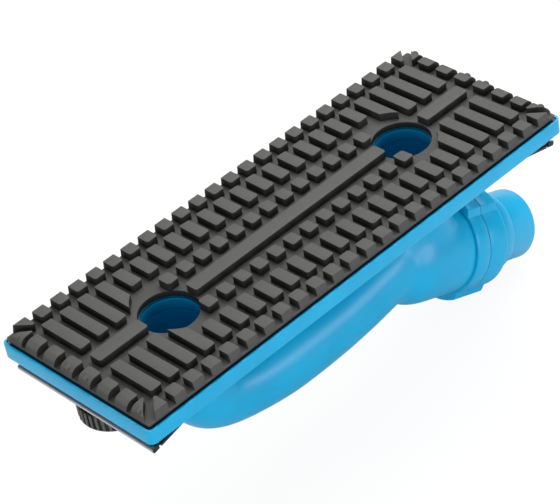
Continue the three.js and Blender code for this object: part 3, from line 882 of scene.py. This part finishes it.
def make_base():
    boss, screw_hole, screw_to = 7, 2.3, BASE_TOP - 2.2
    stud_hole, stud_recess, recess_from = 3.3, 6.4, BASE_TOP - 2.4
    groove_x, groove_pitch, groove_half_width, groove_half_length = 113.6, 1.6, 0.35, 36
    outline = rounded_rectangle(BASE_HALF_LENGTH, BASE_HALF_WIDTH, 2.8, steps=8)
    plate = prism("base_moulding", outline, BASE_BOTTOM, RIM_TOP, BLUE)
    pockets = base_pockets()
    pads = []
    for side in (-1, 1):
        pads.append(cylinder(side * PORT_X, 0, FOOT_RADIUS, BELOW, SOLE_FACE, 72))
        for y in (-FOOT_SCREW_Y, FOOT_SCREW_Y):
            pads.append(cylinder(side * PORT_X, y, boss, BELOW, SOLE_FACE, 36))
    combine(pockets, pads, "DIFFERENCE")
    seat = rounded_rectangle(PAD_HALF_LENGTH + RIM_SLIT, PAD_HALF_WIDTH + RIM_SLIT, 1.6)
    cuts = [pockets, prism("seat", seat, BASE_TOP, SOLE_FACE, None)]
    for side in (-1, 1):
        cuts.append(cylinder(side * PORT_X, 0, PORT_HOLE, BELOW, SOLE_FACE, 96))
        cuts.append(cylinder(side * STUD_X, 0, stud_hole, BELOW, SOLE_FACE, 32))
        cuts.append(cylinder(side * STUD_X, 0, stud_recess, recess_from, SOLE_FACE, 48))
        for y in (-FOOT_SCREW_Y, FOOT_SCREW_Y):
            cuts.append(cylinder(side * PORT_X, y, screw_hole, BELOW, screw_to, 24))
        for step in range(3):
            groove = rounded_rectangle(groove_half_width, groove_half_length, 0.3,
                                       x=side * (groove_x + step * groove_pitch), steps=2)
            cuts.append(prism("groove", groove, BASE_BOTTOM - 1, BASE_BOTTOM + 0.5, None))
    combine(plate, cuts, "DIFFERENCE")
    soften(plate, 0.36, 3, 40)
    finished(plate, "head", "blue_moulding", "base_plate")


# ---------------------------------------------------------------- handle duct

def bezier(a, b, c, d, count):
    points = []
    for k in range(count + 1):
        t = k / count
        s = 1 - t
        points.append(tuple(s ** 3 * a[i] + 3 * s * s * t * b[i] + 3 * s * t * t * c[i]
                            + t ** 3 * d[i] for i in (0, 1)))
    return points


def grip_path():
    """The grip's centre line as (x, z): down from the front port, round and along to the elbow."""
    crown = (-5.0, GRIP_Z)
    front = bezier((-PORT_X, FOOT_TOP), (-PORT_X, -59.4), (-61.0, GRIP_Z), crown, 40)
    rear = bezier(crown, (13.7, GRIP_Z), (28.0, -58.9), (44.9, -55.7), 20)
    return front + rear[1:]


def grip_radius(travelled):
    """A little fuller past the bend, and flared towards the elbow."""
    bend_end, flare_end = 46.8, 88
    bend_gain = 0.4
    bend = min(travelled / bend_end, 1.0)
    flare = min(max((travelled - bend_end) / (flare_end - bend_end), 0.0), 1.0)
    flare = flare * flare * (3 - 2 * flare)
    return DUCT_RADIUS + bend_gain * bend + (GRIP_RADIUS - DUCT_RADIUS - bend_gain) * flare


def swept_grip(name, inset):
    segments = 72
    path = grip_path()
    if inset:
        path = [(path[0][0], path[0][1] + 2)] + path       # a bore that cuts right through the foot
    rings = []
    travelled = 0.0
    for i, (x, z) in enumerate(path):
        if i:
            travelled += math.dist((x, z), path[i - 1])
        before = path[max(i - 1, 0)]
        after = path[min(i + 1, len(path) - 1)]
        tangent = Vector((after[0] - before[0], after[1] - before[1])).normalized()
        radius = grip_radius(travelled) - inset
        ring = []
        for k in range(segments):
            angle = 2 * math.pi * k / segments
            across = radius * math.cos(angle)
            ring.append((x - tangent.y * across, radius * math.sin(angle), z + tangent.x * across))
        rings.append(ring)
    return loft(name, rings, BLUE)


def outlet_tube(name, inset):
    """The tube behind the elbow with its rounded shoulder, or its bore with the seal's step."""
    radius = TUBE_RADIUS - inset
    profile = [(0, TUBE_FROM)]
    for angle in quarter_turn(16):
        profile.append((radius - SHOULDER_DEPTH * (1 - math.sin(angle)),
                        TUBE_FROM + SHOULDER_LENGTH * (1 - math.cos(angle))))
    if inset:
        seal_bore = radius - 0.8
        profile += [(radius, -4), (seal_bore, -2), (seal_bore, 20), (0, 20)]
    else:
        profile += [(radius, 16), (0, 16)]
    return turned(name, profile, BLUE, 96, OUTLET)


def neck_cut():
    """Turns the end of the tube down to the neck and flange that carry the collar."""
    neck, flange_from, flange_to = 20.6, 9.5, 12
    neck_from = COLLAR_FROM - 0.3
    beyond, outside = 20, 40
    profile = [(0, flange_to), (TURNING_FLANGE, flange_to), (TURNING_FLANGE, flange_from),
               (neck, flange_from), (neck, neck_from), (outside, neck_from), (outside, beyond),
               (0, beyond)]
    return turned("neck_cut", profile, None, 144, OUTLET)


def rear_riser(name, inset, top):
    """The upright duct under the rear port. It widens on its way down."""
    levels = ((top, 0), (-30, 1), (-42, 2), (-52, 3), (-60, 3.4))
    profile = [(0, top)]
    profile += [(DUCT_RADIUS + growth - inset, z) for z, growth in levels]
    profile.append((0, levels[-1][0]))
    return turned(name, profile, BLUE, 72, Matrix.Translation((PORT_X * MM, 0, 0)))


def foot_flange(x):
    """A round foot with an ear for each of its two screws."""
    low = FOOT_TOP - FLANGE
    ear, web_from, web_to, wide, narrow = 6.4, 16, 25.5, 13, 6
    disc = cylinder(x, 0, FOOT_RADIUS, low, FOOT_TOP, 96)
    ears = []
    for side in (-1, 1):
        ears.append(cylinder(x, side * FOOT_SCREW_Y, ear, low, FOOT_TOP, 48))
        web = [(x - wide, side * web_from), (x + wide, side * web_from),
               (x + narrow, side * web_to), (x - narrow, side * web_to)]
        ears.append(prism("web", web, low, FOOT_TOP, None))
    return combine(disc, ears, "UNION")


def foot_cuts(x):
    """Seal groove and screw holes of a foot."""
    above, groove_bottom, groove_inner, groove_outer = FOOT_TOP + 1, FOOT_TOP - 1.9, 14.5, 18.0
    profile = [(groove_inner, above), (groove_inner, groove_bottom),
               (groove_outer, groove_bottom), (groove_outer, above)]
    groove = turned("groove", profile, None, 72, Matrix.Translation((x * MM, 0, 0)))
    holes = [cylinder(x, y, 2.4, FOOT_TOP - 9, above, 24) for y in (-FOOT_SCREW_Y, FOOT_SCREW_Y)]
    return [groove, *holes]


def make_duct():
    x, z = grip_path()[-1]
    outer = swept_grip("handle_moulding", 0)
    combine(outer, [ball("ball", (x, 0, z), GRIP_RADIUS, BLUE, 64, 32),
                    ball("ball", ELBOW_CHEEK, ELBOW_CHEEK_RADIUS, BLUE, 64, 32),
                    outlet_tube("tube", 0), rear_riser("riser", 0, FOOT_TOP)], "UNION")
    remesh = outer.modifiers.new("one skin", "REMESH")
    remesh.mode = "VOXEL"
    remesh.voxel_size = 0.9 * MM
    relax = outer.modifiers.new("moulded fillets", "SMOOTH")
    relax.factor = 0.5
    relax.iterations = 90
    bpy.context.view_layer.update()
    evaluated(outer)
    combine(outer, [neck_cut()], "DIFFERENCE")
    combine(outer, [foot_flange(-PORT_X), foot_flange(PORT_X)], "UNION")
    inner = swept_grip("bore", WALL)
    combine(inner, [ball("ball", (x, 0, z), GRIP_RADIUS - WALL, BLUE, 64, 32),
                    outlet_tube("bore_tube", WALL), rear_riser("bore_riser", WALL, FOOT_TOP + 2)],
            "UNION")
    combine(outer, [inner, *foot_cuts(-PORT_X), *foot_cuts(PORT_X)], "DIFFERENCE")
    shade(outer, 40)
    finished(outer, "head", "blue_moulding", "handle_duct")


# ---------------------------------------------------------------- collar and hose connector

def lobe_height(angle):
    """0 to 1 over the collar's two thicker sides, with sloped shoulders and crisp edges."""
    off = min(abs(math.remainder(angle, 2 * math.pi)),
              abs(math.remainder(angle - math.pi, 2 * math.pi)))
    edge = (LOBE_HALF_ANGLE - off) / LOBE_SHOULDER
    rounding = 0.08
    return sum(min(max(edge + shift, 0.0), 1.0) for shift in (-rounding, rounding)) / 2


def ring_with_lobes(name, inner, from_s, to_s, lobe_to, node):
    """A collar ring round the outlet, closed by the (radius, position) points of its inside.

    Outside stations are (position, radius offset, lobe share). Bevels are short end stations.
    """
    edge = 0.3
    stations = [(from_s, -edge, 1.0), (from_s + 0.3 * edge, -0.3 * edge, 1.0),
                (from_s + edge, 0.0, 1.0)]
    if lobe_to < to_s:
        stations += [(lobe_to - 0.3, 0.0, 1.0), (lobe_to - 0.08, 0.0, 0.96), (lobe_to, 0.0, 0.86),
                     (lobe_to + 0.05, 0.0, 0.0), (to_s - 1.0, 0.0, 0.0), (to_s - 0.3, -0.35, 0.0),
                     (to_s, -1.0, 0.0)]
    else:
        stations += [(to_s - edge, 0.0, 1.0), (to_s - 0.3 * edge, -0.3 * edge, 1.0),
                     (to_s, -edge, 1.0)]
    count = 720
    angles = [2 * math.pi * k / count for k in range(count)]
    rings = []
    for position, offset, share in stations:
        ring = []
        for angle in angles:
            rise = (LOBE_RADIUS - COLLAR_RADIUS) * share * lobe_height(angle)
            radius = COLLAR_RADIUS + offset + rise
            ring.append((radius * math.cos(angle), radius * math.sin(angle), position))
        rings.append(ring)
    for radius, position in inner:
        rings.append([(radius * math.cos(a), radius * math.sin(a), position) for a in angles])
    piece = loft(name, rings, BLUE, closed=True)
    piece.data.transform(OUTLET)
    shade(piece, 30)
    finished(piece, "head", "blue_moulding", node)


def make_collar():
    inner_bore = 20.9
    ring_with_lobes("collar_ring_inner", ((inner_bore, INNER_RING_TO), (inner_bore, COLLAR_FROM)),
                    COLLAR_FROM, INNER_RING_TO, INNER_RING_TO, "collar_inner_ring")
    flange_bore, neck_bore = TURNING_FLANGE + 0.3, NECK + 0.3
    step, lobe_to = 16.5, 19.4
    ring_with_lobes("collar_ring_outer", ((neck_bore, OUTER_RING_TO), (neck_bore, step),
                                          (flange_bore, step), (flange_bore, OUTER_RING_FROM)),
                    OUTER_RING_FROM, OUTER_RING_TO, lobe_to, "collar_outer_ring")


def make_connector():
    """Turning flange, neck, rounded shoulder and spigot, bored right through."""
    spigot, bore, flange_bore = 15.9, 13.5, 17.0
    flange_from, flange_to = 13.8, 16.2
    shoulder_from, shoulder_to = NECK_TO, 32.0
    fillet = 0.6
    mouth = 47.6
    profile = [(flange_bore, flange_from), (TURNING_FLANGE, flange_from),
               (TURNING_FLANGE, flange_to), (NECK, flange_to), (NECK, shoulder_from)]
    for angle in quarter_turn(16):
        profile.append((spigot + fillet + (NECK - spigot - fillet) * math.cos(angle),
                        shoulder_from + (shoulder_to - shoulder_from) * math.sin(angle)))
    profile += [(spigot + 0.15, shoulder_to + fillet), (spigot, shoulder_to + 2 * fillet),
                (spigot, mouth - 0.5), (spigot - 0.15, mouth - 0.15), (spigot - 0.5, mouth),
                (bore + 0.3, mouth), (bore, mouth - 0.3), (bore, 31), (flange_bore, 20)]
    piece = turned("hose_connector_moulding", profile, BLUE, 128, OUTLET)
    shade(piece)
    finished(piece, "swivel", "blue_moulding", "hose_connector")


# ---------------------------------------------------------------- clamps

def turned_to(end, piece):
    """Clamps are made at the rear. The front one is turned round the upright axis."""
    if end == "front":
        piece.data.transform(Matrix.Rotation(math.pi, 4, "Z"))


def make_clamp_plate(end):
    """Flat pressing with a bent-up lip, short returns round its corners and relief slits."""
    reach = CLAMP_REACH
    lip = [(reach - 0.7, -PLATE), (reach - 0.2, -PLATE + 0.2), (reach, -PLATE + 0.7),
           (reach, LIP - 0.9), (reach - 0.1, LIP - 0.45), (reach - 0.35, LIP - 0.12),
           (reach - 0.75, LIP)]
    profile = [(0, 0), (0, -PLATE), *lip, (reach - PLATE, LIP), (reach - PLATE, 0.3),
               (reach - PLATE - 0.3, 0)]
    plate = prism(f"{end}_plate_pressing", profile, -CLAMP_HALF_WIDTH, CLAMP_HALF_WIDTH,
                  SHEET_STEEL, "Y")
    return_from = reach - 3.4
    ear = [(return_from, -PLATE), *lip, (return_from, LIP)]
    ears = []
    slits = []
    for side in (-1, 1):
        ends = sorted((side * CLAMP_HALF_WIDTH, side * (CLAMP_HALF_WIDTH - PLATE)))
        ears.append(prism("ear", ear, *ends, SHEET_STEEL, "Y"))
        slit = rounded_rectangle(0.5, 1.3, 0.3, x=return_from - 0.5,
                                 y=side * (CLAMP_HALF_WIDTH + 0.3), steps=2)
        slits.append(prism("slit", slit, -3, 1, None))
    combine(plate, ears, "UNION")
    stud_at = (STUD_X - CLAMP_PIVOT_X) / math.cos(CLAMP_TILT)
    slot = prism("slot", rounded_rectangle(3.9, 3.5, 3.45, x=stud_at - 0.1, steps=10), -4, 2, None)
    combine(plate, [slot, *slits], "DIFFERENCE")
    soften(plate, 0.12, 1, 40)
    open_tilt = (Matrix.Translation((CLAMP_PIVOT_X * MM, 0, (BASE_BOTTOM - 0.3) * MM))
                 @ Matrix.Rotation(CLAMP_TILT, 4, "Y"))
    plate.data.transform(open_tilt)
    turned_to(end, plate)
    finished(plate, f"{end}_plate_body", "clamp_steel", f"{end}_clamp_plate")


def grip_ribs(end):
    """Rounded ribs round the knob, each a short upright bar."""
    rib = 0.72
    ring = Layout(f"{end}_grip_ribs", ribs=KNOB_RIBS, radius=(KNOB_RADIUS - rib) * MM,
                  rib=rib * MM, height=(KNOB_TOP - KNOB_BOTTOM) * MM)
    bar = ring.node("GeometryNodeMeshCylinder", Vertices=16, Radius=ring.given("rib"),
                    Depth=ring.given("height"))
    circle = ring.node("GeometryNodeMeshCircle", Vertices=ring.given("ribs"),
                       Radius=ring.given("radius"))
    ribs = ring.node("GeometryNodeInstanceOnPoints", Points=circle.outputs[0],
                     Instance=bar.outputs["Mesh"])
    return ring.built("grip_ribs", ribs.outputs[0], BLACK)


def make_knob(end):
    """A ribbed knob with a smooth foot rim, a dished face and a seat for its insert."""
    low, rim = KNOB_BOTTOM, KNOB_RADIUS
    core = KNOB_RADIUS - 0.9
    body = turned("knob_core", [(0, low), (core - 0.1, low), (core + 0.55, low + 0.35),
                                (core + 0.7, low + 0.8), (core, low + 1.2), (core, KNOB_TOP),
                                (0, KNOB_TOP)], BLACK, 140)
    ribs = grip_ribs(end)
    ribs.data.transform(Matrix.Translation((0, 0, (KNOB_TOP + KNOB_BOTTOM) / 2 * MM)))
    envelope = turned("envelope", [(0, low), (rim - 1.0, low), (rim - 0.35, low + 0.35),
                                   (rim, low + 1.0), (rim, KNOB_TOP - 0.4),
                                   (rim - 0.4, KNOB_TOP), (0, KNOB_TOP)], BLACK, 140)
    combine(ribs, [envelope], "INTERSECT")
    dish = [(0, low - 1), (11.2, low - 1), (11.0, low + 0.5), (10.6, low + 0.8), (0, low + 0.8)]
    insert_seat, stud_way = 4.9, 3.5
    cuts = [cylinder(0, 0, insert_seat, low + 1.8, KNOB_TOP + 1, 48),
            cylinder(0, 0, stud_way, low - 1, KNOB_TOP + 1, 48),
            turned("dish", dish, None, 96)]
    combine(body, cuts, "DIFFERENCE")
    knob = merge(f"{end}_knob_grip", [body, ribs], BLACK)
    shade(knob, 40)
    knob.data.transform(Matrix.Translation((STUD_X * MM, 0, 0)))
    turned_to(end, knob)
    finished(knob, f"{end}_knob_body", "black_plastic", f"{end}_clamp_knob")


# ---------------------------------------------------------------- pieces that keep their solids

def paint_small_pieces():
    finishes = {
        "gasket": SEAL,
        "seal": SEAL,
        "screw": ZINC,
        "stud": ZINC,
        "washer": ZINC,
        "insert": BRASS,
    }
    for name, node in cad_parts.items():
        for word, material in finishes.items():
            if word in name:
                node.data.materials.clear()
                node.data.materials.append(material)


# ---------------------------------------------------------------- studio

def backdrop_material():
    """A pale floor to the light, whitened to the eye so that only a soft shadow is left."""
    near_share, far_share = 0.86, 1.0
    paper = Finish("studio_paper", Base_Color=(0.62, 0.62, 0.62, 1), Roughness=0.9)
    white = paper.node("ShaderNodeEmission", Color=(1, 1, 1, 1), Strength=1.06)
    away = paper.node("ShaderNodeVectorMath", {"operation": "LENGTH"}, Vector=paper.place)
    metres = paper.value(away.outputs["Value"])
    whitened = near_share + (far_share - near_share) * metres.between(0.3, 1.0)
    seen = paper.value(paper.node("ShaderNodeLightPath").outputs["Is Camera Ray"])
    mix = paper.node("ShaderNodeMixShader")
    paper.wire(seen * whitened, mix.inputs[0])
    paper.wire(paper.shader.outputs[0], mix.inputs[1])
    paper.wire(white.outputs[0], mix.inputs[2])
    paper.wire(mix.outputs[0], paper.nodes["Material Output"].inputs["Surface"])
    return paper.material


def make_floor():
    reach = 3000
    mesh = bpy.data.meshes.new("floor")
    corners = ((-reach, -reach), (reach, -reach), (reach, reach), (-reach, reach))
    places = [Vector((x, y, FLOOR_LEVEL)) * MM for x, y in corners]
    mesh.from_pydata(places, [], [(0, 1, 2, 3)])
    floor = link("floor", mesh, backdrop_material())


def softbox(name, size, power, azimuth, elevation, distance):
    """A rectangular lamp that looks at the middle of the head. Sizes are in metres."""
    data = bpy.data.lights.new(name, "AREA")
    data.shape = "RECTANGLE"
    data.size, data.size_y = size
    data.energy = power
    lamp = bpy.data.objects.new(name, data)
    bpy.context.scene.collection.objects.link(lamp)
    a, e = math.radians(azimuth), math.radians(elevation)
    direction = Vector((math.sin(a) * math.cos(e), math.cos(a) * math.cos(e), math.sin(e)))
    lamp.location = direction * distance
    lamp.rotation_euler = direction.to_track_quat("Z", "Y").to_euler()


ROOM_LIGHT = 0.5                    # strength of the plain white room as a light
ROOM_IN_REFLECTIONS = 0.05
ROOM_SEEN = 1.0                     # by the camera


def make_lights():
    world = bpy.data.worlds.new("studio")
    bpy.context.scene.world = world
    world.use_nodes = True
    room = NodeTree(world.node_tree)
    background = room.nodes["Background"]
    ray = room.node("ShaderNodeLightPath")
    strength = (ROOM_LIGHT
                + room.value(ray.outputs["Is Glossy Ray"]) * (ROOM_IN_REFLECTIONS - ROOM_LIGHT)
                + room.value(ray.outputs["Is Camera Ray"]) * (ROOM_SEEN - ROOM_LIGHT))
    room.wire((1, 1, 1, 1), background.inputs["Color"])
    room.wire(strength, background.inputs["Strength"])
    softbox("overhead_softbox", (0.6, 0.6), power=4.9, azimuth=50, elevation=58, distance=0.6)
    softbox("left_softbox", (1.0, 0.6), power=7.0, azimuth=240, elevation=10, distance=1.2)
    softbox("right_softbox", (0.6, 0.24), power=3.3, azimuth=162, elevation=8, distance=0.9)
    softbox("rear_softbox", (0.5, 0.3), power=1.8, azimuth=98, elevation=36, distance=1.0)
    softbox("glint_lamp", (0.4, 0.4), power=0.8, azimuth=233, elevation=51, distance=1.0)


def make_camera():
    """A long lens from above the near corner, a little rolled."""
    azimuth = math.radians(38.14)
    elevation = math.radians(38.09)
    roll = math.radians(-10.78)
    target = Vector((-9.9, -3.1, -10.9)) * MM
    distance = 954.4 * MM
    forward = Vector((math.sin(azimuth) * math.cos(elevation),
                      math.cos(azimuth) * math.cos(elevation), -math.sin(elevation)))
    level = forward.cross(Vector((0, 0, 1))).normalized()
    upright = level.cross(forward)
    right = level * math.cos(roll) + upright * math.sin(roll)
    up = right.cross(forward)
    data = bpy.data.cameras.new("camera")
    data.lens = 151.84
    data.sensor_width = 36.0
    data.clip_start = 0.01
    camera = bpy.data.objects.new("camera", data)
    bpy.context.scene.collection.objects.link(camera)
    turn = Matrix((right, up, -forward)).transposed().to_4x4()
    camera.matrix_world = Matrix.Translation(target - forward * distance) @ turn
    bpy.context.scene.camera = camera


# ---------------------------------------------------------------- assembly

make_camera()
make_lights()
make_floor()
make_sole()
make_base()
make_duct()
make_collar()
make_connector()
for clamp_end in ("front", "rear"):
    make_clamp_plate(clamp_end)
    make_knob(clamp_end)
paint_small_pieces()

bpy.context.scene.view_settings.view_transform = "Standard"
